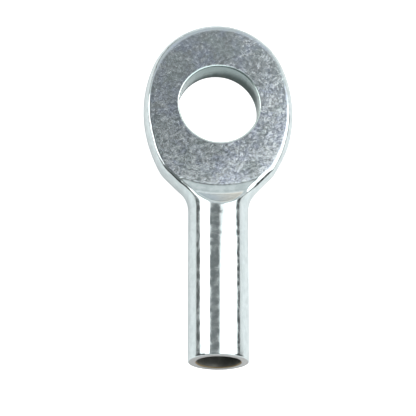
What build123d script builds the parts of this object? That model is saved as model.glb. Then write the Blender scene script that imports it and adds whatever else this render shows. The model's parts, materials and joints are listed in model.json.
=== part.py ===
from build123d import *

# A forged eye end for a rope: a flat oval eye with a round hole, on a round shank
# with a blind socket that is pressed onto the rope's end. It is one piece of steel.
# The head is a round bar's end, squeezed between two round dies. Its sides stay
# free, so they bulge out to the bar's own roundness, and a sloping shoulder on each
# face leads from the pressed flat back up to the shank.
#
# Frame: the origin is the centre of the eye hole, halfway through the eye. +Z is
# the hole's axis, the crown of the eye is on +Y, and the shank points to -Y.

import os
from math import cos, radians, sin, sqrt, tan

# ---- driving dimensions, in mm and degrees ----
SHANK_RADIUS = 12.0      # the bar, and also the roundness of the head's free sides
SHANK_END = -104.6       # open end of the shank, along Y
END_ROUNDING = 0.4       # outer edge of that end
SOCKET_RADIUS = 8.6      # rope socket
SOCKET_DEPTH = 58.0      # from the mouth to the start of the drill point
DRILL_POINT = 118.0      # included angle of the drill's tip
MOUTH_CHAMFER = 0.4

EYE_THICKNESS = 12.5
EYE_HOLE_RADIUS = 16.0
HOLE_ROUNDING = 1.2      # both edges of the hole
RIM_ROUNDING = 1.3       # edge of each flat and its shoulder

# The outline, seen along the hole, runs on each side from the crown to the shank.
CROWN_Y = 35.2           # top of the head
CROWN_RADIUS = 28.3      # the crown arc,
CROWN_TURN = 67.5        # how far it turns on each side,
SIDE_RADIUS = 50.5       # the flatter side arc
SIDE_TURN = 52.5         # and its turn,
CORNER_RADIUS = 8.0      # the bend into the straight flank,
FLANK_ANGLE = 45.0       # the flank's angle to the shank,
NECK_RADIUS = 11.6       # and the hollow arc that runs into the shank

DIE_RADIUS = 40.0        # radius of the round dies' flat,
SHOULDER_FOOT = -33.85   # which ends here, along Y
SHOULDER_SLOPE = 42.0    # the shoulder's angle to the flat
FOOT_RADIUS = 8.0        # hollow radius at its foot

# ---- places worked out from them ----
half_thickness = EYE_THICKNESS / 2
bulge = SHANK_RADIUS - sqrt(SHANK_RADIUS**2 - half_thickness**2)


def heading(turn):
    """Outward direction on the outline after it has turned this far from the crown."""
    return Vector(sin(radians(turn)), cos(radians(turn)))


corner_turn = CROWN_TURN + SIDE_TURN
flank_turn = 90 + FLANK_ANGLE
crown_centre = Vector(0, CROWN_Y - CROWN_RADIUS)
side_centre = crown_centre + heading(CROWN_TURN) * (CROWN_RADIUS - SIDE_RADIUS)
corner_centre = side_centre + heading(corner_turn) * (SIDE_RADIUS - CORNER_RADIUS)
flank_start = corner_centre + heading(flank_turn) * CORNER_RADIUS

# The flank ends where the neck's arc, which is tangent to both, leaves it.
flank = radians(FLANK_ANGLE)
neck_x = SHANK_RADIUS + NECK_RADIUS
flank_width = flank_start.X - (neck_x - NECK_RADIUS * cos(flank))
flank_end_y = flank_start.Y - flank_width / tan(flank)
neck_centre = Vector(neck_x, flank_end_y - NECK_RADIUS * sin(flank))
flank_length = flank_width / sin(flank)


def section_plane(origin, direction):
    """Upright plane across the outline: its x runs along direction and its y is +Z."""
    return Plane(origin=origin, x_dir=direction, z_dir=(direction.Y, -direction.X, 0))


def rim_section(plane, centre, inner, outer, height):
    """A free side's section: the bar's circle about centre, kept from inner to outer."""
    with BuildSketch(plane) as section:
        with Locations((centre, 0)):
            Circle(SHANK_RADIUS)
        with Locations(((inner + outer) / 2, 0)):
            Rectangle(outer - inner, 2 * height, mode=Mode.INTERSECT)
    return section.sketch


with BuildPart() as forged_eye:
    # the right half of the head: a flat plate, up to where its free sides bulge
    with BuildSketch(Plane.XY):
        with BuildLine():
            crown = CenterArc(crown_centre, CROWN_RADIUS - bulge, 90, -CROWN_TURN)
            CenterArc(side_centre, SIDE_RADIUS - bulge, 90 - CROWN_TURN, -SIDE_TURN)
            corner = CenterArc(
                corner_centre, CORNER_RADIUS - bulge, 90 - corner_turn, corner_turn - flank_turn
            )
            neck = CenterArc(neck_centre, NECK_RADIUS + bulge, 180 - FLANK_ANGLE, FLANK_ANGLE)
            Line(corner @ 1, neck @ 0)
            Polyline(neck @ 1, (0, neck_centre.Y), crown @ 0)
        make_face()
    extrude(amount=half_thickness, both=True)

    # the bulged sides round the crown, the side and the corner
    head_arcs = (
        (crown_centre, CROWN_RADIUS, CROWN_TURN, CROWN_TURN),
        (side_centre, SIDE_RADIUS, corner_turn, SIDE_TURN),
        (corner_centre, CORNER_RADIUS, flank_turn, flank_turn - corner_turn),
    )
    for centre, radius, last_turn, turn in head_arcs:
        plane = section_plane(centre, heading(last_turn))
        side = rim_section(plane, radius - SHANK_RADIUS, radius - 3 * bulge, radius, half_thickness)
        revolve(side, axis=Axis(centre, (0, 0, 1)), revolution_arc=turn)

    # the straight flank
    plane = section_plane(flank_start, heading(flank_turn))
    extrude(rim_section(plane, -SHANK_RADIUS, -SHANK_RADIUS, 0, SHANK_RADIUS), amount=flank_length)

    # the neck, with half of the low ridge that its two sides leave between them
    with BuildSketch(section_plane(neck_centre, Vector(-cos(flank), sin(flank)))):
        with Locations((neck_x, 0)):
            Circle(SHANK_RADIUS)
            Rectangle(SHANK_RADIUS / 2, 2 * SHANK_RADIUS, align=(Align.MIN, Align.CENTER))
    revolve(axis=Axis(neck_centre, (0, 0, 1)), revolution_arc=FLANK_ANGLE)

    # the other half, and the shank
    split(bisect_by=Plane.YZ, keep=Keep.TOP)
    mirror(about=Plane.YZ)
    with BuildSketch(Plane.XZ.offset(-neck_centre.Y)):
        Circle(SHANK_RADIUS)
    extrude(amount=neck_centre.Y - SHANK_END)

    # the two dies: a flat over the head, then a hollow foot and a slope up to the shank
    slope = radians(SHOULDER_SLOPE)
    foot_rise = FOOT_RADIUS * (1 - cos(slope))
    above = 2 * SHANK_RADIUS
    ramp_length = (above - half_thickness - foot_rise) / sin(slope)
    die_centre = Vector(0, SHOULDER_FOOT + DIE_RADIUS)
    with BuildSketch(Plane(origin=die_centre, x_dir=(0, -1, 0), z_dir=(-1, 0, 0))):
        with BuildLine():
            flat = Line((0, half_thickness), (DIE_RADIUS, half_thickness))
            foot = JernArc(flat @ 1, flat % 1, FOOT_RADIUS, SHOULDER_SLOPE)
            ramp = PolarLine(foot @ 1, ramp_length, SHOULDER_SLOPE)
            Polyline(ramp @ 1, (0, above), flat @ 0)
        make_face()
        mirror(about=Plane.XZ)
    revolve(axis=Axis(die_centre, (0, 0, 1)), mode=Mode.SUBTRACT)

    # the rounded edge along each flat and its shoulder
    middle_faces = forged_eye.faces().filter_by_position(Axis.X, -1, 1)
    head_faces = middle_faces.filter_by_position(Axis.Y, neck_centre.Y, CROWN_Y)
    pressed_faces = head_faces - head_faces.filter_by_position(Axis.Z, -1, 1)
    side_faces = forged_eye.faces() - pressed_faces
    fillet(pressed_faces.edges() & side_faces.edges(), RIM_ROUNDING)

    # the eye hole, punched through and rounded on both edges
    Hole(EYE_HOLE_RADIUS)
    fillet(forged_eye.edges(Select.LAST).filter_by(GeomType.CIRCLE), HOLE_ROUNDING)

    # the shank's end, and the rope socket with the drill's point at its bottom
    fillet(forged_eye.faces().sort_by(Axis.Y)[0].edges(), END_ROUNDING)
    socket_bottom = SHANK_END + SOCKET_DEPTH
    with BuildSketch(Plane.XY):
        Polygon(
            (0, SHANK_END),
            (SOCKET_RADIUS + MOUTH_CHAMFER, SHANK_END),
            (SOCKET_RADIUS, SHANK_END + MOUTH_CHAMFER),
            (SOCKET_RADIUS, socket_bottom),
            (0, socket_bottom + SOCKET_RADIUS / tan(radians(DRILL_POINT / 2))),
            align=None,
        )
    revolve(axis=Axis.Y, mode=Mode.SUBTRACT)

forged_eye.part.label = "forged_eye"
os.makedirs("parts", exist_ok=True)
export_step(forged_eye.part, "parts/forged_eye.step")

size = forged_eye.part.bounding_box().size
print(f"size {size.X:.2f} x {size.Y:.2f} x {size.Z:.2f} mm, volume {forged_eye.part.volume:.0f} mm3")
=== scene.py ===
import json
from math import cos, pi, radians, sin

import bmesh
import bpy
import numpy as np
from mathutils import Matrix, Vector, noise


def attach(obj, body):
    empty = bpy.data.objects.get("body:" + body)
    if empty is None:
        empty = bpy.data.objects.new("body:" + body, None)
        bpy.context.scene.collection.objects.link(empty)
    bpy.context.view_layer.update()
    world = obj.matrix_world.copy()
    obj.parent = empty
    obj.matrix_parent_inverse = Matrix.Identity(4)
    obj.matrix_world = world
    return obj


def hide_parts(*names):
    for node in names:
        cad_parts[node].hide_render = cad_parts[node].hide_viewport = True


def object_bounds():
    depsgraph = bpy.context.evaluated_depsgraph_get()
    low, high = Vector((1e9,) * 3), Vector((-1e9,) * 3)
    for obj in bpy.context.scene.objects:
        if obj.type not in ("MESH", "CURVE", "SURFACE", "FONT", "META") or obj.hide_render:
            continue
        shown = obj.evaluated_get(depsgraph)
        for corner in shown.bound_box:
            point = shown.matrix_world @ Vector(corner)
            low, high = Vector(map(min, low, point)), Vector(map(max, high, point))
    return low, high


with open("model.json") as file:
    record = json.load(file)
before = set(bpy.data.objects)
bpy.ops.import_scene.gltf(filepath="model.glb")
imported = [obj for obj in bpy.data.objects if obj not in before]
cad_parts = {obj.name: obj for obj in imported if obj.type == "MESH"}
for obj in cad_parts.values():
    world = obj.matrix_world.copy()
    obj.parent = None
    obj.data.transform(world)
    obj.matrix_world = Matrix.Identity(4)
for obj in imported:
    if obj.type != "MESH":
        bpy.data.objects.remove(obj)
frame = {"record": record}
cad_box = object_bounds()

MM = 0.001
lowest, highest = (Vector(corner) for corner in cad_box)
middle = (lowest + highest) / 2
mounts = {mount["name"]: mount["dims"] for mount in frame["record"]["mounts"]}


# ---- the forging's sizes, in mm and degrees, as in the CAD model ----
SHANK_R = 12.0
END_Y, END_ROUND = -104.6, 0.4
SOCKET_R = mounts["rope_socket"]["r_mm"]
SOCKET_DEPTH, DRILL_POINT, MOUTH = 58.0, 118.0, 0.4
HOLE_R = mounts["eye_bore"]["r_mm"]
HALF_THICK, RIM_ROUND = 6.25, 1.3
CROWN_Y, CROWN_R, CROWN_TURN = 35.2, 28.3, 67.5
SIDE_R, SIDE_TURN = 50.5, 52.5
CORNER_R, FLANK_ANGLE, NECK_R = 8.0, 45.0, 11.6
DIE_R, FOOT_Y, FOOT_R, SHOULDER = 40.0, -33.85, 8.0, 42.0

# ---- where the forging differs a little from the CAD model, in mm ----
HOLE_ROUND = 0.7                                # the hole's edges are sharper
DIE_X = -1.0                                    # the pressing dies sat a little to the left
FLANK_R = 25.0                                  # the flanks' section is nearly upright
FLANK_TOP, FLANK_END = (14.0, 27.0), (31.0, 37.5)   # below the hole's axis: it fades in, and out
PINCH_LEFT, PINCH_RIGHT = 0.15, 0.5             # how far the flanks draw in
PINCH_X = 6.0                                   # the one turns into the other this near to the middle
CROWN_ROUND, CROWN_SPAN = 2.0, (8.0, 26.0)      # how much rounder the rim gets up the crown
RIGHT_ROUND, RIGHT_SPAN = 1.4, (2.0, 16.0)      # and towards the right
RIGHT_FOOT = (-42.0, -33.0)                     # the rounder right side fades in up from the shank
RIGHT_FLANK, FLANK_ROUND = 0.7, 0.35            # less of it on the right flank, and a little on both


def step(value, low, high):
    """0 below low, 1 above high, and smooth between them."""
    t = np.clip((value - low) / (high - low), 0, 1)
    return t * t * (3 - 2 * t)


def unit(turn):
    """Outward direction on the outline after it has turned this far from the crown."""
    return np.stack([np.sin(turn), np.cos(turn)], -1)


class Outline:
    """The right half of the head's outline at mid thickness, by distance from the crown."""

    EDGE = 1e-9                                 # so that neighbouring stretches share their ends

    def __init__(self):
        crown, side, flank = np.radians([CROWN_TURN, CROWN_TURN + SIDE_TURN, 90 + FLANK_ANGLE])
        crown_centre = np.array([0, CROWN_Y - CROWN_R])
        side_centre = crown_centre + unit(crown) * (CROWN_R - SIDE_R)
        corner_centre = side_centre + unit(side) * (SIDE_R - CORNER_R)
        self.arcs = [(crown_centre, CROWN_R, 0.0, crown),
                     (side_centre, SIDE_R, crown, side),
                     (corner_centre, CORNER_R, side, flank)]
        self.slant = np.radians(FLANK_ANGLE)
        self.flank_start = corner_centre + unit(flank) * CORNER_R
        self.flank_way = np.array([-np.sin(self.slant), -np.cos(self.slant)])
        width = self.flank_start[0] - (SHANK_R + NECK_R * (1 - np.cos(self.slant)))
        self.flank_length = width / np.sin(self.slant)
        neck_y = self.flank_start[1] - width / np.tan(self.slant) - NECK_R * np.sin(self.slant)
        self.neck = np.array([SHANK_R + NECK_R, neck_y])
        lengths = [radius * (end - start) for _, radius, start, end in self.arcs]
        self.marks = np.concatenate([[0], np.cumsum(lengths + [self.flank_length, NECK_R * self.slant])])
        self.flank_from, self.neck_from, self.shank_from = self.marks[3:]

    def at(self, s):
        """Points and outward directions at distances s."""
        s = np.asarray(s, float)
        point, out = np.zeros(s.shape + (2,)), np.zeros(s.shape + (2,))
        for k, (centre, radius, start, _) in enumerate(self.arcs):
            part = (s >= self.marks[k]) & (s < self.marks[k + 1])
            out[part] = unit(start + (s[part] - self.marks[k]) / radius)
            point[part] = centre + radius * out[part]
        part = (s >= self.flank_from) & (s < self.neck_from)
        out[part] = unit(np.pi / 2 + self.slant)
        point[part] = self.flank_start + (s[part] - self.flank_from)[:, None] * self.flank_way
        part = (s >= self.neck_from) & (s < self.shank_from)
        out[part] = unit(np.pi / 2 + self.slant - (s[part] - self.neck_from) / NECK_R)
        point[part] = self.neck - NECK_R * out[part]
        part = s >= self.shank_from
        out[part] = (1, 0)
        point[part] = np.stack([np.full(part.sum(), SHANK_R), self.neck[1] - (s[part] - self.shank_from)], -1)
        return point, out

    def distance(self, x, y):
        """Signed distance from the outline, positive outside."""
        place = np.stack([np.abs(x), y], -1)
        best = np.full(x.shape, np.inf)

        def offer(value, along, start, end):
            beside = (along >= start - self.EDGE) & (along <= end + self.EDGE)
            better = beside & (np.abs(value) < np.abs(best))
            best[better] = value[better]

        for centre, radius, start, end in self.arcs:
            dx, dy = np.moveaxis(place - centre, -1, 0)
            offer(np.hypot(dx, dy) - radius, np.arctan2(dx, dy), start, end)
        beyond = place - self.flank_start
        offer(beyond @ unit(np.pi / 2 + self.slant), beyond @ self.flank_way, 0, self.flank_length)
        dx, dy = np.moveaxis(self.neck - place, -1, 0)
        offer(NECK_R - np.hypot(dx, dy), np.arctan2(dx, dy), np.pi / 2, np.pi / 2 + self.slant)
        offer(place[..., 0] - SHANK_R, self.neck[1] - y, 0, np.inf)
        return best


OUTLINE = Outline()


# ---- the skin, as signed distances in mm ----
GRADIENT_STEP = 1e-3
SAME_WAY = 0.98                                 # two faces with a cosine above this don't form an edge
SETTLE_ROUNDS = 6
LEAST = 1e-6                                    # keeps a division finite


def flank(y):
    """1 along the flanks, where the head narrows to the neck, 0 above and below them."""
    return step(-y, *FLANK_TOP) * (1 - step(-y, *FLANK_END))


def side_gap(points):
    """Distance from the free sides and the shank: a ball of the side's radius rolled round the outline."""
    x, y, z = np.moveaxis(points, -1, 0)
    radius = SHANK_R + (FLANK_R - SHANK_R) * flank(y)
    pinch = flank(y) * (PINCH_LEFT + (PINCH_RIGHT - PINCH_LEFT) * step(x, -PINCH_X, PINCH_X))
    across = OUTLINE.distance(x, y) + radius + pinch
    return np.where(across > 0, np.hypot(across, z), np.abs(z)) - radius


def rim_round(points):
    """The rim's radius: larger over the crown and down the right side."""
    x, y, _ = np.moveaxis(points, -1, 0)
    right = step(x, *RIGHT_SPAN) * step(y, *RIGHT_FOOT) * (RIGHT_ROUND - RIGHT_FLANK * flank(y))
    crown = CROWN_ROUND * step(y, *CROWN_SPAN)
    return RIM_ROUND + np.maximum(right, crown) + FLANK_ROUND * flank(y)


def beyond_die(x, y):
    """How far a place lies outside the round edge of the pressing dies."""
    return np.hypot(x - DIE_X, y - FOOT_Y - DIE_R) - DIE_R


def die_gap(points):
    """Distance from the pressed face: the flat, the hollow foot and the slope."""
    x, y, z = np.moveaxis(points, -1, 0)
    out = beyond_die(x, y)
    up = np.abs(z) - HALF_THICK
    slope = np.radians(SHOULDER)
    foot = FOOT_R - np.hypot(out, up - FOOT_R)
    lean = np.arctan2(out, FOOT_R - up)
    end_out, end_up = FOOT_R * np.sin(slope), FOOT_R * (1 - np.cos(slope))
    ramp = (up - end_up) * np.cos(slope) - (out - end_out) * np.sin(slope)
    return np.where(lean <= 0, up, np.where(lean < slope, foot, ramp))


def gradient(gap, points):
    """The direction in which a distance grows, at each point."""
    slopes = np.zeros_like(points)
    for k in range(3):
        shift = np.zeros(3)
        shift[k] = GRADIENT_STEP
        slopes[..., k] = (gap(points + shift) - gap(points - shift)) / (2 * GRADIENT_STEP)
    return slopes


def skin_gap(points):
    """Distance from the sides and the pressed faces together, with the rim between them rounded."""
    side, die = side_gap(points), die_gap(points)
    radius = rim_round(points)
    cosine = (gradient(side_gap, points) * gradient(die_gap, points)).sum(-1)
    cosine = np.clip(cosine, -1, SAME_WAY)
    u, v = side + radius, die + radius
    reach = np.maximum(u * u + v * v - 2 * u * v * cosine, 0) / (1 - cosine * cosine)
    on_rim = (u > v * cosine) & (v > u * cosine)
    return np.where(on_rim, np.sqrt(reach) - radius, np.maximum(side, die))


def settle(points):
    """Moves points onto the rounded skin."""
    points = np.array(points, float)
    for _ in range(SETTLE_ROUNDS):
        slopes = gradient(skin_gap, points)
        steep = np.maximum((slopes * slopes).sum(-1), LEAST)
        points -= (skin_gap(points) / steep)[..., None] * slopes
    return points


# ---- mesh: grids of quads in mm, welded into one skin ----
SIDE_COLUMNS, NECK_COLUMNS = 320, 72            # round the head, and across the neck
FLAT_ROWS, ACROSS_ROWS = 26, 26                 # over the flat, and over the free side
RIM_ROWS, RIM_STEP = 4, 0.2                     # close rows beside the crease
SHOULDER_ROWS, BELOW_ROWS = 34, 9               # down to the shoulder's crest, and on to the plain shank
DOWN_ROWS = SHOULDER_ROWS + BELOW_ROWS
CREST_POINTS = 300
ROUND_ROWS, WALL_ROWS, SHANK_ROWS, FACE_ROWS, BORE_ROWS = 6, 16, 120, 5, 40
TIP_PARTS = (0.35, 0.7, 1)                      # rings of the drill point, as parts of its height
BROW_DROP = 1.5                                 # bend of the line between the flat and the shoulder
JOIN_ANGLE = np.radians(42)                     # round the shank: the free side ends here
JOIN_Y = -46.0                                  # the plain shank begins here
BISECT_ROUNDS = 50
WELD = 0.05
SKIN, WALL, BORE, FACE = range(4)               # material slots
MIRROR_X, MIRROR_Z = np.array([-1, 1, 1]), np.array([1, 1, -1])
TOP_ANGLES = np.linspace(JOIN_ANGLE, np.pi - JOIN_ANGLE, NECK_COLUMNS + 1)


def ball_point(s, angle):
    """The point on the free side at outline distance s, this far round from mid thickness."""
    point, out = OUTLINE.at(s)
    flat = point - out * (SHANK_R * (1 - np.cos(angle)))[..., None]
    return np.concatenate([flat, (SHANK_R * np.sin(angle))[..., None]], -1)


def bisect(f, low, high):
    """Where f turns from positive at low to negative at high."""
    for _ in range(BISECT_ROUNDS):
        centre = (low + high) / 2
        inside = f(centre) < 0
        high, low = np.where(inside, centre, high), np.where(inside, low, centre)
    return (low + high) / 2


def crease_angle(s):
    """How far round from mid thickness the pressed face meets the side at distance s."""
    return bisect(lambda angle: -die_gap(ball_point(s, angle)), np.zeros_like(s), np.full_like(s, np.pi / 2))


def join_distance():
    """The outline distance at which the plain shank begins."""
    return OUTLINE.shank_from + OUTLINE.neck[1] - JOIN_Y


def crease_distance(angle):
    """The outline distance at which the crease has climbed to this angle."""
    low, high = np.full_like(angle, OUTLINE.flank_from), np.full_like(angle, join_distance())
    return bisect(lambda s: die_gap(ball_point(s, angle)), low, high)


def resample(points, fractions):
    """Points at these fractions of a polyline's length."""
    steps = np.linalg.norm(np.diff(points, axis=0), axis=1)
    run = np.concatenate([[0], np.cumsum(steps)]) / steps.sum()
    return np.stack([np.interp(fractions, run, points[:, k]) for k in range(3)], -1)


def coons(top, bottom, right, left):
    """A grid between four edges. Rows run from top to bottom, columns from right to left."""
    r = np.linspace(0, 1, len(right))[:, None, None]
    t = np.linspace(0, 1, len(top))[None, :, None]
    corners = ((1 - r) * ((1 - t) * top[0] + t * top[-1])
               + r * ((1 - t) * bottom[0] + t * bottom[-1]))
    return ((1 - r) * top[None] + r * bottom[None]
            + (1 - t) * right[:, None] + t * left[:, None] - corners)


def side_distances():
    """Outline distances of the side's columns, negative on the left: over the head and down both necks."""
    split = (OUTLINE.flank_from + OUTLINE.neck_from) / 2
    corner = float(crease_distance(np.array([JOIN_ANGLE]))[0])
    head = np.linspace(-split, split, SIDE_COLUMNS + 1)
    beside = split + (corner - split) * np.linspace(0, 1, SHOULDER_ROWS + 1)
    below = corner + (join_distance() - corner) * np.linspace(0, 1, BELOW_ROWS + 1)
    down = np.concatenate([beside, below[1:]])
    return np.concatenate([-down[:0:-1], head, down[1:]])


def side_band(s):
    """The free side from the front crease to the back one, and how far round each point is."""
    angle = np.minimum(crease_angle(np.abs(s)), JOIN_ANGLE)
    head_arc = 2 * SHANK_R * np.arcsin(HALF_THICK / SHANK_R)
    fine = RIM_STEP / head_arc
    edge = fine * np.arange(RIM_ROWS)
    between = np.linspace(RIM_ROWS * fine, 1 - RIM_ROWS * fine, ACROSS_ROWS + 1)
    across = np.concatenate([edge, between, 1 - edge[::-1]])
    turn = angle[:, None] * (1 - 2 * across[None, :])
    band = ball_point(np.abs(s)[:, None] + 0 * turn, turn)
    band[s < 0] *= MIRROR_X
    return band, turn


def brow_line(corner):
    """The line across the flat, from this corner on its right, below which the shoulder's grid begins."""
    t = np.linspace(-1, 1, NECK_COLUMNS + 1)
    return np.stack([-corner[0] * t, corner[1] - BROW_DROP * (1 - t * t), 0 * t + HALF_THICK], -1)


def column_turns(corner):
    """Directions of the flat's columns, seen from the hole: round the head, and then below the hole."""
    reach = np.arctan2(corner[0], corner[1])
    below = np.linspace(reach, 2 * np.pi - reach, NECK_COLUMNS + 1)[1:-1]
    return np.concatenate([np.linspace(-reach, reach, SIDE_COLUMNS + 1), below])


def flat_grid(outer, turns):
    """The pressed flat, from the hole's rounding to its outer edge."""
    inner = np.concatenate([unit(turns) * (HOLE_R + HOLE_ROUND), np.full((len(turns), 1), HALF_THICK)], 1)
    length = np.linalg.norm(outer - inner, axis=1)
    fine = RIM_STEP / length[:, None] * np.arange(RIM_ROWS, -1, -1)[None, :]
    even = np.linspace(0, 1, FLAT_ROWS + 1)[None, :-1] * (1 - fine[:, :1])
    rows = np.concatenate([even, 1 - fine], 1)
    grid = inner[None] + (outer - inner)[None] * rows.T[..., None]
    return np.concatenate([grid, grid[:, :1]], 1)


def crest_line():
    """The shoulder's crest over the shank, from right to left."""
    angles = np.linspace(JOIN_ANGLE, np.pi / 2, CREST_POINTS)
    crest = ball_point(crease_distance(angles), angles)
    half = resample(crest, np.linspace(0, 1, NECK_COLUMNS // 2 + 1))
    return np.concatenate([half, half[-2::-1] * MIRROR_X])


def ring(radius, y, angles):
    """Points round the shank's axis."""
    return np.stack([radius * np.cos(angles), np.full_like(angles, y), radius * np.sin(angles)], -1)


def shoulder_grids(brow, right, left):
    """The shoulder down to its crest, and the top of the neck below the crest."""
    crest = crest_line()
    join = ring(SHANK_R, JOIN_Y, TOP_ANGLES)
    shoulder = coons(brow, crest, right[:SHOULDER_ROWS + 1], left[:SHOULDER_ROWS + 1])
    below = coons(crest, join, right[SHOULDER_ROWS:], left[SHOULDER_ROWS:])
    return [shoulder, below]


def hole_grid(turns):
    """The hole's wall with its two rounded edges, from front to back."""
    wall_z = HALF_THICK - HOLE_ROUND
    edge = [(HOLE_R + HOLE_ROUND * (1 - np.sin(bend)), wall_z + HOLE_ROUND * np.cos(bend))
            for bend in np.linspace(0, np.pi / 2, ROUND_ROWS + 1)]
    wall = [(HOLE_R, z) for z in np.linspace(wall_z, -wall_z, WALL_ROWS + 1)[1:-1]]
    back = [(radius, -z) for radius, z in reversed(edge)]
    ways = unit(np.append(turns, turns[0] + 2 * np.pi))
    return np.stack([np.concatenate([ways * radius, np.full((len(ways), 1), z)], 1)
                     for radius, z in edge + wall + back])


def shank_grids(side_angles):
    """The shank, its end face and the socket, each with its material slot."""
    angles = np.concatenate([side_angles[::-1], TOP_ANGLES[1:],
                             np.pi - side_angles[1:], 2 * np.pi - TOP_ANGLES[::-1][1:]])
    shank = [(SHANK_R, y) for y in np.linspace(JOIN_Y, END_Y + END_ROUND, SHANK_ROWS + 1)]
    shank += [(SHANK_R - END_ROUND * (1 - np.cos(bend)), END_Y + END_ROUND * (1 - np.sin(bend)))
              for bend in np.linspace(0, np.pi / 2, ROUND_ROWS + 1)[1:]]
    face = [(radius, END_Y) for radius in np.linspace(SHANK_R - END_ROUND, SOCKET_R + MOUTH, FACE_ROWS + 1)]
    bottom = END_Y + SOCKET_DEPTH
    tip = SOCKET_R / np.tan(np.radians(DRILL_POINT / 2))
    bore = [face[-1]] + [(SOCKET_R, y) for y in np.linspace(END_Y + MOUTH, bottom, BORE_ROWS + 1)]
    bore += [(SOCKET_R * (1 - part), bottom + tip * part) for part in TIP_PARTS]
    return [(np.stack([ring(radius, y, angles) for radius, y in profile]), slot)
            for profile, slot in ((shank, SKIN), (face, FACE), (bore, BORE))]


def forging_grids():
    """All grids of the forging, each with its material slot."""
    band, turn = side_band(side_distances())
    crease = band[:, 0]
    right, left = crease[-DOWN_ROWS - 1:], crease[DOWN_ROWS::-1]
    brow, turns = brow_line(right[0]), column_turns(right[0])
    outer = np.concatenate([crease[DOWN_ROWS:len(crease) - DOWN_ROWS], brow[1:-1]])
    front = [settle(grid) for grid in [flat_grid(outer, turns)] + shoulder_grids(brow, right, left)]
    skin = front + [grid * MIRROR_Z for grid in front] + [settle(band)]
    return [(grid, SKIN) for grid in skin] + [(hole_grid(turns), WALL)] + shank_grids(turn[-1])


def weld(mesh):
    """Joins the grids along their edges, faces them all outwards and smooths them."""
    work = bmesh.new()
    work.from_mesh(mesh)
    bmesh.ops.remove_doubles(work, verts=work.verts, dist=WELD * MM)
    bmesh.ops.recalc_face_normals(work, faces=work.faces)
    for face in work.faces:
        face.smooth = True
    work.to_mesh(mesh)
    work.free()


def forging_mesh(name):
    """One closed quad mesh of the forging, in metres."""
    points, faces, slots = [], [], []
    base = 0
    for grid, slot in forging_grids():
        rows, columns = grid.shape[:2]
        points.append(grid.reshape(-1, 3))
        index = base + np.arange(rows * columns).reshape(rows, columns)
        quads = np.stack([index[:-1, :-1], index[1:, :-1], index[1:, 1:], index[:-1, 1:]], -1)
        faces.append(quads.reshape(-1, 4))
        slots += [slot] * len(faces[-1])
        base += rows * columns
    mesh = bpy.data.meshes.new(name)
    mesh.from_pydata((np.concatenate(points) * MM).tolist(), [], np.concatenate(faces).tolist())
    mesh.polygons.foreach_set("material_index", slots)
    weld(mesh)
    return mesh


# ---- relief, in mm ----
SWELLS = ((0.006, 5.2), (0.003, 2.1))           # height and length of the forged skin's waves
SWELL_SHIFT = 3.7
SKIN_DROP = 0.012                               # keeps the waves inside the CAD model's box
DINGS, DING_SEED = 36, 11                       # small blows on the rims
DING_DEPTH, DING_SIZE = (0.04, 0.15), (0.7, 1.9)
RIM_LEAN = (0.55, 0.9)                          # the normal's Z on the rims' roundings
DING_FOOT = -38                                 # no blows below this Y
DING_CLEAR = 2                                  # nor as near as this to the hole
CLEAN_X, CLEAN_Y = 5, -12                       # nor to the right of and below this place


def waves(points):
    """Smooth noise, summed over the swells."""
    total = np.zeros(len(points))
    for height, length in SWELLS:
        places = points / length + SWELL_SHIFT
        total += height * np.array([noise.noise(Vector(place)) for place in places])
    return total


def dings(points, normals):
    """How far each point is knocked in by small blows scattered along the rims."""
    chance = np.random.default_rng(DING_SEED)
    x, y, z = points.T
    lean = np.abs(normals[:, 2])
    on_rim = (lean > RIM_LEAN[0]) & (lean < RIM_LEAN[1]) & (np.abs(z) < HALF_THICK)
    allowed = (y > DING_FOOT) & (np.hypot(x, y) > HOLE_R + DING_CLEAR) & ((x < CLEAN_X) | (y > CLEAN_Y))
    depth = np.zeros(len(points))
    for place in points[chance.choice(np.flatnonzero(on_rim & allowed), DINGS, replace=False)]:
        size = chance.uniform(*DING_SIZE)
        away = np.linalg.norm(points - place, axis=1) / size
        depth = np.maximum(depth, chance.uniform(*DING_DEPTH) * (1 - step(away, 0, 1)))
    return depth


# ---- masks on the mesh, for the zinc skin ----
UPRIGHT = (0.82, 0.97)                          # the normal's Z, from a rim to a flat
DIE_EDGE = (-0.8, 0.9)                          # mm outside the dies' edge
FLAT_SLACK = 0.5                                # mm
STEEP = (0.45, 0.64)                            # the normal's Y, from the hollow foot to the slope
NECK_Y = -30                                    # mm; the slopes lie below it


def pressed_mask(points, normals):
    """1 on the pressed flats, 0 on the free sides, the shoulder and the shank."""
    x, y, z = points.T
    flat = step(np.abs(normals[:, 2]), *UPRIGHT)
    return flat * (1 - step(beyond_die(x, y), *DIE_EDGE)) * (np.abs(z) < HALF_THICK + FLAT_SLACK)


def slope_mask(points, normals):
    """1 on the steep part of the two shoulders, 0 everywhere else."""
    return step(normals[:, 1], *STEEP) * (points[:, 1] < NECK_Y)


# ---- nodes ----
MIX_A, MIX_B, MIX_RESULT = 6, 7, 2              # the colour sockets of a Mix node


def smooth_step(tree, value, low, high, onto=(0.0, 1.0)):
    """A smooth step of value from low to high, onto another pair of numbers."""
    node = tree.nodes.new("ShaderNodeMapRange")
    node.interpolation_type = "SMOOTHSTEP"
    tree.links.new(value, node.inputs["Value"])
    for name, number in zip(("From Min", "From Max", "To Min", "To Max"), (low, high, *onto)):
        node.inputs[name].default_value = number
    return node.outputs["Result"]


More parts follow.
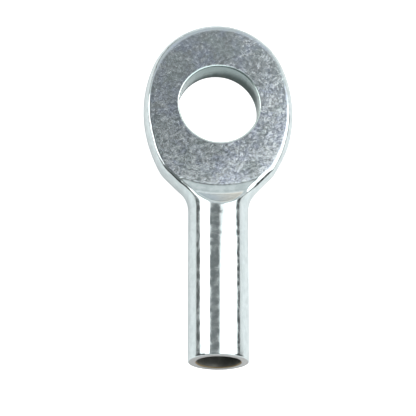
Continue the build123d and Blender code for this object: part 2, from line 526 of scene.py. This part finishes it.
class Paint:
    """A material and short ways to add nodes to it. Textures read the object's own coordinates, in mm."""

    def __init__(self, name, metallic=1.0):
        self.material = bpy.data.materials.new(name)
        self.material.use_nodes = True
        self.tree = self.material.node_tree
        self.shader = self.tree.nodes["Principled BSDF"]
        self.shader.inputs["Metallic"].default_value = metallic
        where = self.add("ShaderNodeTexCoord").outputs["Object"]
        self.mm = self.scaled(where, (1 / MM,) * 3)

    def add(self, kind, **settings):
        node = self.tree.nodes.new(kind)
        for name, value in settings.items():
            setattr(node, name, value)
        return node

    def feed(self, socket, value):
        """Gives a socket a number, a colour or another node's output."""
        if isinstance(value, bpy.types.NodeSocket):
            self.tree.links.new(value, socket)
        elif isinstance(value, tuple):
            socket.default_value = (*value, 1)
        else:
            socket.default_value = value

    def coat(self, colour, roughness, height, depth):
        """Feeds the shader. Height from 0 to 1 stands for this depth in mm."""
        node = self.add("ShaderNodeBump")
        self.feed(node.inputs["Height"], height)
        node.inputs["Distance"].default_value = depth * MM
        self.feed(self.shader.inputs["Base Color"], colour)
        self.feed(self.shader.inputs["Roughness"], roughness)
        self.feed(self.shader.inputs["Normal"], node.outputs["Normal"])
        return self.material

    def scaled(self, vector, scale, turn=0.0, shift=0.0):
        """The vector shifted back, turned back by an angle about Z, and then scaled."""
        node = self.add("ShaderNodeMapping", vector_type="TEXTURE")
        self.feed(node.inputs["Vector"], vector)
        node.inputs["Location"].default_value = (shift, shift, shift)
        node.inputs["Rotation"].default_value = (0, 0, radians(turn))
        node.inputs["Scale"].default_value = [1 / k for k in scale]
        return node.outputs["Vector"]

    def noise(self, length, detail=2.0, rough=0.5, warp=0.0, stretch=(1, 1, 1), turn=0.0, shift=0.0):
        """Noise whose features are about this long, in mm. Stretch shortens them along a turned axis."""
        node = self.add("ShaderNodeTexNoise")
        self.feed(node.inputs["Vector"], self.scaled(self.mm, stretch, turn, shift))
        node.inputs["Scale"].default_value = 1 / length
        node.inputs["Detail"].default_value = detail
        node.inputs["Roughness"].default_value = rough
        node.inputs["Distortion"].default_value = warp
        return node.outputs["Fac"]

    def math(self, operation, a, b=0.0):
        node = self.add("ShaderNodeMath", operation=operation)
        self.feed(node.inputs[0], a)
        self.feed(node.inputs[1], b)
        return node.outputs[0]

    def plus(self, a, b):
        return self.math("ADD", a, b)

    def times(self, a, b):
        return self.math("MULTIPLY", a, b)

    def ramp(self, value, low, high, onto=(0.0, 1.0)):
        return smooth_step(self.tree, value, low, high, onto)

    def axis(self, name):
        """A coordinate, in mm."""
        node = self.add("ShaderNodeSeparateXYZ")
        self.feed(node.inputs["Vector"], self.mm)
        return node.outputs[name]

    def mask(self, name):
        return self.add("ShaderNodeAttribute", attribute_name=name).outputs["Fac"]

    def mix(self, factor, a, b):
        """Colour a turning into colour b."""
        node = self.add("ShaderNodeMix", data_type="RGBA")
        self.feed(node.inputs["Factor"], factor)
        self.feed(node.inputs[MIX_A], a)
        self.feed(node.inputs[MIX_B], b)
        return node.outputs[MIX_RESULT]

    def strokes(self, length, turn, width, shift):
        """Short curved scratches: thin level lines of a stretched noise, broken up by another."""
        field = self.noise(length, rough=0.6, warp=0.5, stretch=(1, 2.6, 1), turn=turn, shift=shift)
        away = self.math("ABSOLUTE", self.math("SUBTRACT", field, 0.5))
        breaks = self.noise(length * 0.8, shift=shift + 31.0)
        return self.times(self.ramp(away, width, 0.0), self.ramp(breaks, 0.50, 0.64))


# ---- the zinc skin. Colours are linear RGB, and pairs are the two ends of a blend ----
CLEAR_ZINC = (0.595, 0.67, 0.675), (0.70, 0.775, 0.78)
SLOPE_HIGHLIGHT_ZINC = (0.81, 0.88, 0.90), (0.99, 0.93, 0.82)     # a painted highlight, lighter than the clear zinc: bluish on the left, beige on the right
LOW_ZINC = (0.45, 0.51, 0.52), (0.43, 0.48, 0.555)      # the flats below the hole, painted darker as shade: grey, and bluish clouds
HIGH_ZINC = (0.55, 0.625, 0.64), (0.53, 0.595, 0.69)    # and above it, lighter
BLOTCH_ZINC = (0.55, 0.60, 0.62)
SCRATCH_ZINC = (0.68, 0.735, 0.76)
CLEAR_ROUGH, SATIN_ROUGH = (0.08, 0.24), (0.10, 0.23)
SCRATCH_ROUGH, WEAR_AND_SHEEN_ROUGH = 0.13, (-0.01, 0.05)
TINT_X, HIGH_Y = 7, (-26, 30)                           # mm
WEAR_AND_SHEEN_SPAN, WEAR_AND_SHEEN_PATCHES = (18.0, 68.0), 60.0            # mm; wear, and with it a painted sheen of light flecks, grows towards the right, in patches
WEAR_AND_SHEEN_SCRATCHES = (0.34, 0.9)
SCRATCH_HEIGHT, GRAIN_HEIGHT, CLEAR_RELIEF, RELIEF = 0.35, 0.95, 0.12, 0.032


def scuffs(zinc, wear_and_sheen, pressed):
    """Scratches in three directions, more where the flats are worn and towards the right, where their light
    flecks are partly a painted sheen of the right-hand light.
    """
    fine = zinc.strokes(length=1.8, turn=52, width=0.034, shift=3.0)
    broad = zinc.strokes(length=4.2, turn=40, width=0.030, shift=17.0)
    cross = zinc.strokes(length=3.2, turn=-12, width=0.022, shift=41.0)
    scratched = zinc.math("MAXIMUM", fine, zinc.math("MAXIMUM", broad, cross))
    scratched = zinc.times(scratched, zinc.ramp(wear_and_sheen, 0, 1, WEAR_AND_SHEEN_SCRATCHES))
    return zinc.times(scratched, pressed)


def skin_colour(zinc, pressed, scratched, mottle, cloud):
    """Clear zinc with a painted highlight on the slope, and the flats' clouds, painted shade below the hole,
    blotches and scratches.
    """
    blotch = zinc.noise(4.5, detail=3, rough=0.55, warp=0.6)
    # painted highlight on the shoulders' steep slope, bluish on the left and beige on the right
    slope_highlight = zinc.mix(zinc.ramp(zinc.axis("X"), -TINT_X, TINT_X), *SLOPE_HIGHLIGHT_ZINC)
    clear = zinc.mix(zinc.ramp(mottle, 0.36, 0.64), *CLEAR_ZINC)
    clear = zinc.mix(zinc.mask("slope"), clear, slope_highlight)
    bluish = zinc.ramp(cloud, 0.38, 0.60)
    low, high = zinc.mix(bluish, *LOW_ZINC), zinc.mix(bluish, *HIGH_ZINC)
    # painted shade: the flats are darker below the hole than above it
    shaded_grey = zinc.mix(zinc.ramp(zinc.axis("Y"), *HIGH_Y), low, high)
    satin = zinc.mix(zinc.ramp(blotch, 0.32, 0.72), shaded_grey, BLOTCH_ZINC)
    satin = zinc.mix(scratched, satin, SCRATCH_ZINC)
    return zinc.mix(pressed, clear, satin)


def skin_roughness(zinc, pressed, scratched, wear_and_sheen, mottle, grain):
    """Polished where the zinc is clear, and duller on the flats, most where they are scuffed or worn."""
    clear = zinc.ramp(mottle, 0.33, 0.67, CLEAR_ROUGH)
    satin = zinc.ramp(grain, 0.34, 0.68, SATIN_ROUGH)
    scuffed = zinc.plus(zinc.times(scratched, SCRATCH_ROUGH), zinc.ramp(wear_and_sheen, 0, 1, WEAR_AND_SHEEN_ROUGH))
    more = zinc.plus(zinc.math("SUBTRACT", satin, clear), scuffed)
    return zinc.plus(clear, zinc.times(pressed, more))


def zinc_skin():
    """Bright zinc: clear on the free sides and the shank, satin and scuffed on the pressed flats."""
    zinc = Paint("bright_zinc")
    pressed = zinc.mask("pressed")
    grain = zinc.noise(1.3, detail=4, rough=0.65)
    mottle = zinc.noise(2.6, detail=3, rough=0.6, shift=7.0)
    cloud = zinc.noise(9, detail=3, rough=0.5, warp=0.4)
    # wear and painted sheen: more light scratches towards the right, where the flats catch the right-hand
    # light
    wear_and_sheen = zinc.ramp(zinc.plus(zinc.axis("X"), zinc.times(cloud, WEAR_AND_SHEEN_PATCHES)), *WEAR_AND_SHEEN_SPAN)
    scratched = scuffs(zinc, wear_and_sheen, pressed)
    colour = skin_colour(zinc, pressed, scratched, mottle, cloud)
    roughness = skin_roughness(zinc, pressed, scratched, wear_and_sheen, mottle, grain)
    height = zinc.plus(zinc.times(scratched, SCRATCH_HEIGHT), zinc.times(grain, GRAIN_HEIGHT))
    height = zinc.times(height, zinc.ramp(pressed, 0, 1, (CLEAR_RELIEF, 1.0)))
    return zinc.coat(colour, roughness, height, RELIEF)


# ---- the other surfaces ----
# the end face's zinc: duller, and darkened as painted shade
SHADED_FACE_ZINC = (0.30, 0.315, 0.31), (0.42, 0.43, 0.42)
# The wall's colours paint light and shade: dim at its top, lit at its sides, and darkest, as painted shade,
# in the torn part towards the back.
WALL_TOP, WALL_SIDES, WALL_TORN_SHADE = (0.38, 0.47, 0.465), (0.80, 0.90, 0.87), (0.095, 0.125, 0.12)
WALL_ROUGH = (0.22, 0.5)
WALL_LIT_Y = (14, -3)                           # mm, from the wall's top down to its sides, which are painted brighter as lit
TORN_SHADE_Y, TORN_SHADE_SHARE = (-5, 9), (0.15, 1.0)       # mm; less of the wall is torn, and painted dark as shade, at its sides
TEAR_SHADE_FROM, TEAR_SHADE_TO = 4.5, -3.0                  # mm, from the front of the wall to its back
TEAR_SHADE_RAGGED, TEAR_SHADE_RIGHT = 3.0, 0.22             # mm, and mm further forward per mm to the right
BORE_STEEL, BROWN_FILM = ((0.10, 0.105, 0.095), (0.16, 0.165, 0.145)), (0.26, 0.20, 0.11)
LIP = 0.6                                       # mm, the brown film's width in the socket's mouth


def turned_zinc():
    """The open end's face, turned square: fine rings under duller zinc, darkened as painted shade."""
    zinc = Paint("turned_zinc")
    rings = zinc.noise(0.35, stretch=(1, 0.1, 1))
    return zinc.coat(zinc.mix(rings, *SHADED_FACE_ZINC), roughness=0.26, height=rings, depth=0.01)


def wall_zinc():
    """The punched hole's wall: burnished below the front edge, with painted light that is dim at its top and
    bright at its sides, and torn and rough towards the back, where its dark colour is painted shade.
    """
    zinc = Paint("hole_zinc")
    streak = zinc.noise(1.6, detail=3, stretch=(1, 1, 0.15))
    ragged = zinc.plus(zinc.axis("Z"), zinc.times(streak, TEAR_SHADE_RAGGED))
    ragged = zinc.math("SUBTRACT", ragged, zinc.times(zinc.axis("X"), TEAR_SHADE_RIGHT))
    share = zinc.ramp(zinc.axis("Y"), *TORN_SHADE_Y, TORN_SHADE_SHARE)
    # torn, and painted shade: the torn part's dark colour paints the shade towards the back and the right
    torn_and_shaded = zinc.times(zinc.ramp(ragged, TEAR_SHADE_FROM, TEAR_SHADE_TO), share)
    # painted light: dim at the wall's top, brighter at its sides
    burnished_and_lit = zinc.mix(zinc.ramp(zinc.axis("Y"), *WALL_LIT_Y), WALL_TOP, WALL_SIDES)
    colour = zinc.mix(torn_and_shaded, burnished_and_lit, WALL_TORN_SHADE)
    roughness = zinc.ramp(torn_and_shaded, 0, 1, WALL_ROUGH)
    return zinc.coat(colour, roughness, height=zinc.times(streak, torn_and_shaded), depth=0.08)


def bore_steel():
    """The drilled socket: bare dark steel, ringed by the drill, with a brown film in its mouth."""
    steel = Paint("bore_steel", metallic=0.5)
    rings = steel.noise(0.5, stretch=(0.05, 1, 0.05))
    film = steel.noise(4.0, detail=3, rough=0.6)
    mouth = steel.ramp(steel.axis("Y"), END_Y + LIP, END_Y + LIP / 2)
    colour = steel.mix(mouth, steel.mix(steel.ramp(film, 0.35, 0.7), *BORE_STEEL), BROWN_FILM)
    return steel.coat(colour, roughness=0.5, height=rings, depth=0.03)


# ---- the forging ----
def vectors(items, name):
    """One vector of every item of a mesh, as rows."""
    values = np.zeros(len(items) * 3)
    items.foreach_get(name, values)
    return values.reshape(-1, 3)


def build_forging():
    mesh = forging_mesh("forging")
    points, normals = vectors(mesh.vertices, "co") / MM, vectors(mesh.vertex_normals, "vector")
    for name, mask in (("pressed", pressed_mask), ("slope", slope_mask)):
        layer = mesh.attributes.new(name, "FLOAT", "POINT")
        layer.data.foreach_set("value", mask(points, normals))
    points += normals * (waves(points) - SKIN_DROP - dings(points, normals))[:, None]
    mesh.vertices.foreach_set("co", (points * MM).ravel())
    for material in (zinc_skin(), wall_zinc(), bore_steel(), turned_zinc()):
        mesh.materials.append(material)
    piece = bpy.data.objects.new("forging", mesh)
    bpy.context.scene.collection.objects.link(piece)
    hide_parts("forged_eye")
    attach(piece, "root")


# ---- camera ----
CAMERA_REACH = 962 * MM
CAMERA_TILT = 18.98                             # degrees from straight above, towards the shank's open end
CAMERA_SIDE = 4.99                              # degrees to the left
FIELD_OF_VIEW = 9.785                           # degrees
LOOK_AT = Vector((0, middle.y - 0.3 * MM, 0))
OFF_CENTRE = (4.07 * MM, 6.31 * MM)             # how far right and up of the picture's middle LOOK_AT stands
SENSOR, FAR = 36, 20                            # mm and m


def direction(side, tilt):
    """Unit vector that leans side degrees towards +X and tilt degrees towards +Y from +Z."""
    a, b = radians(side), radians(tilt)
    return Vector((sin(a), cos(a) * sin(b), cos(a) * cos(b)))


def facing(place, back):
    """A frame at place whose local Z is back, with its local Y as near to +Y as it goes."""
    right = Vector((0, 1, 0)).cross(back).normalized()
    return Matrix.Translation(place) @ Matrix((right, back.cross(right), back)).transposed().to_4x4()


def make_camera():
    camera = bpy.data.objects.new("camera", bpy.data.cameras.new("camera"))
    bpy.context.scene.collection.objects.link(camera)
    back = direction(-CAMERA_SIDE, -CAMERA_TILT)
    place = LOOK_AT + back * CAMERA_REACH
    square = facing(place, back).to_3x3()
    aim = LOOK_AT - square.col[0] * OFF_CENTRE[0] - square.col[1] * OFF_CENTRE[1]
    camera.matrix_world = facing(place, (place - aim).normalized())
    camera.data.sensor_width = SENSOR
    camera.data.angle = radians(FIELD_OF_VIEW)
    camera.data.clip_end = FAR
    bpy.context.scene.camera = camera


# ---- studio ----
CARD_X, CARD_NEAR, CARD_FAR = 160 * MM, -75 * MM, 400 * MM      # beside the object, from its shank to past it
CROWN_CARD = 42 * MM                                            # the tall card begins past the crown
NECK_FLAG_X, NECK_FLAG_HEIGHT, NECK_FLAG_NEAR, NECK_FLAG_FAR = 125 * MM, 105 * MM, -150 * MM, -72 * MM
OVERHEAD, PAST_CROWN, LEVEL = (0.15, 0.6), (0.36, 0.52), (0.93, 0.985)  # spans of a direction's Z, Y and Y
ROOM_DIM, ROOM_BRIGHT, ROOM_BRIGHTER = (0.09, 0.25), 0.56, 0.30         # radiances in those spans
WHITE, BLACK_CARD = (1, 1, 1, 1), (0.02, 0.02, 0.02, 1)
ROOM_TINT, PAPER = (0.96, 0.99, 1.0, 1), (0.77, 0.77, 0.77, 1)
FLOOR_SIZE, FLOOR_LIFT = 20, 0.18


def panel(name, side, tilt, reach, width, length, radiance):
    """A softbox that faces the object's middle. Its length runs along Y. Angles are in degrees."""
    light = bpy.data.lights.new(name, "AREA")
    light.shape = "RECTANGLE"
    light.size = width
    light.size_y = length
    light.energy = radiance * pi * width * length
    softbox = bpy.data.objects.new(name, light)
    bpy.context.scene.collection.objects.link(softbox)
    back = direction(side, tilt)
    softbox.matrix_world = facing(middle + back * reach, back)
    softbox.visible_camera = False


def glowing(name, colour):
    """A matt material that also glows white, and its shader."""
    paint = bpy.data.materials.new(name)
    paint.use_nodes = True
    shader = paint.node_tree.nodes["Principled BSDF"]
    shader.inputs["Base Color"].default_value = colour
    shader.inputs["Roughness"].default_value = 1.0
    shader.inputs["Emission Color"].default_value = WHITE
    return paint, shader


def card(name, x, height, radiance, near, far):
    """A card that stands on the floor beside the object and shows only in its sides."""
    bpy.ops.mesh.primitive_plane_add(size=1)
    plane = bpy.context.object
    plane.name = name
    plane.scale = (height, far - near, 1)
    plane.rotation_euler = (0, pi / 2, 0)
    plane.location = (x, (near + far) / 2, lowest.z + height / 2)
    paint, shader = glowing(name + "_paint", BLACK_CARD)
    shader.inputs["Emission Strength"].default_value = radiance
    plane.data.materials.append(paint)
    plane.visible_camera = plane.visible_shadow = plane.visible_diffuse = False


def room_strength(tree):
    """The room that the object sees: dark low down, and lighter overhead and past its crown."""
    coords = tree.nodes.new("ShaderNodeTexCoord")
    split = tree.nodes.new("ShaderNodeSeparateXYZ")
    tree.links.new(coords.outputs["Generated"], split.inputs["Vector"])

    def total(a, b):
        node = tree.nodes.new("ShaderNodeMath")
        tree.links.new(a, node.inputs[0])
        tree.links.new(b, node.inputs[1])
        return node.outputs[0]

    overhead = smooth_step(tree, split.outputs["Z"], *OVERHEAD, ROOM_DIM)
    past_crown = smooth_step(tree, split.outputs["Y"], *PAST_CROWN, (0, ROOM_BRIGHT))
    level = smooth_step(tree, split.outputs["Y"], *LEVEL, (0, ROOM_BRIGHTER))
    return total(overhead, total(past_crown, level))


def make_world():
    """White to the camera, and a dim room to the object."""
    world = bpy.data.worlds.new("studio")
    bpy.context.scene.world = world
    world.use_nodes = True
    tree = world.node_tree
    room = tree.nodes["Background"]
    room.inputs["Color"].default_value = ROOM_TINT
    tree.links.new(room_strength(tree), room.inputs["Strength"])
    white = tree.nodes.new("ShaderNodeBackground")
    white.inputs["Color"].default_value = WHITE
    path = tree.nodes.new("ShaderNodeLightPath")
    pick = tree.nodes.new("ShaderNodeMixShader")
    tree.links.new(path.outputs["Is Camera Ray"], pick.inputs[0])
    tree.links.new(room.outputs[0], pick.inputs[1])
    tree.links.new(white.outputs[0], pick.inputs[2])
    tree.links.new(pick.outputs[0], tree.nodes["World Output"].inputs["Surface"])


def make_floor():
    """White paper without shadows to the camera, and softly lit paper in the object's reflections."""
    bpy.ops.mesh.primitive_plane_add(size=FLOOR_SIZE, location=(0, 0, lowest.z))
    floor = bpy.context.object
    floor.name = "floor"
    paint, shader = glowing("floor_paint", PAPER)
    shader.inputs["Specular IOR Level"].default_value = 0.0
    tree = paint.node_tree
    path = tree.nodes.new("ShaderNodeLightPath")
    lift = tree.nodes.new("ShaderNodeMapRange")
    tree.links.new(path.outputs["Is Camera Ray"], lift.inputs["Value"])
    lift.inputs["To Min"].default_value = FLOOR_LIFT
    lift.inputs["To Max"].default_value = 1.0
    tree.links.new(lift.outputs["Result"], shader.inputs["Emission Strength"])
    floor.data.materials.append(paint)


def make_studio():
    make_world()
    make_floor()
    panel("left_softbox", side=-56, tilt=20, reach=0.8, width=0.55, length=0.5, radiance=2.6)
    panel("right_softbox", side=33.5, tilt=-11.5, reach=0.8, width=1.15, length=0.86, radiance=2.3)
    panel("right_fill", side=41, tilt=25, reach=0.9, width=0.66, length=0.26, radiance=2.2)
    card("left_flag", -CARD_X, height=41 * MM, radiance=0.12, near=CARD_NEAR, far=CARD_FAR)
    card("right_card", CARD_X, height=40 * MM, radiance=1.0, near=CARD_NEAR, far=CROWN_CARD)
    card("crown_card", CARD_X, height=80 * MM, radiance=1.0, near=CROWN_CARD, far=CARD_FAR)
    for side in (-1, 1):
        card("neck_flag", side * NECK_FLAG_X, NECK_FLAG_HEIGHT, 0.06, NECK_FLAG_NEAR, NECK_FLAG_FAR)
    bpy.context.scene.view_settings.view_transform = "Standard"


make_camera()
make_studio()
build_forging()
bpy.context.view_layer.update()
